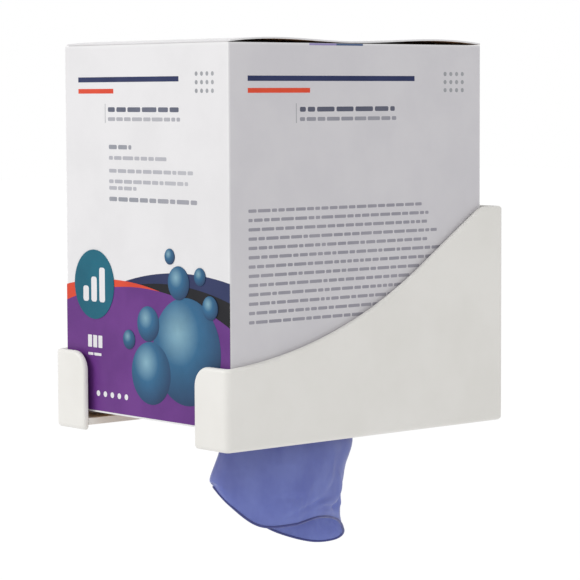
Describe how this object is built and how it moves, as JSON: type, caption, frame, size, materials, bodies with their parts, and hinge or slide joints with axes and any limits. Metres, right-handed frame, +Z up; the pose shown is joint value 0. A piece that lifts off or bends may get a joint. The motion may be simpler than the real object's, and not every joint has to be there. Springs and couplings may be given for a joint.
{
  "type": "disposable glove dispenser",
  "caption": "Wall-hung moulded holder with a swept rim, carrying a folded carton of disposable gloves that hang cuff first from an outlet in its base.",
  "frame": {"origin": "centre of the wall screw pattern, on the back face of the holder that lies against the wall", "axes": "+Z up, +Y into the wall, +X across; the dispenser's front faces -Y"},
  "size_m": [0.143, 0.1922, 0.2707],
  "materials": {
    "holder_plastic": "moulded, soft gloss",
    "carton_board": "coated and printed folding board",
    "packed_gloves": "matt nitrile film",
    "glove_film": "matt nitrile film"
  },
  "bodies": {
    "dispenser": {"holder": "holder_plastic", "carton": "carton_board", "glove_stack": "packed_gloves", "hanging_glove": "glove_film"},
    "lid": {"carton_lid": "carton_board"}
  },
  "joints": [
    {"name": "lid_hinge", "type": "hinge", "parent": "dispenser", "child": "lid", "pos_m": [0, -0.0143, 0.13615], "axis": [-1, 0, 0], "range_deg": [0, 92]}
  ]
}
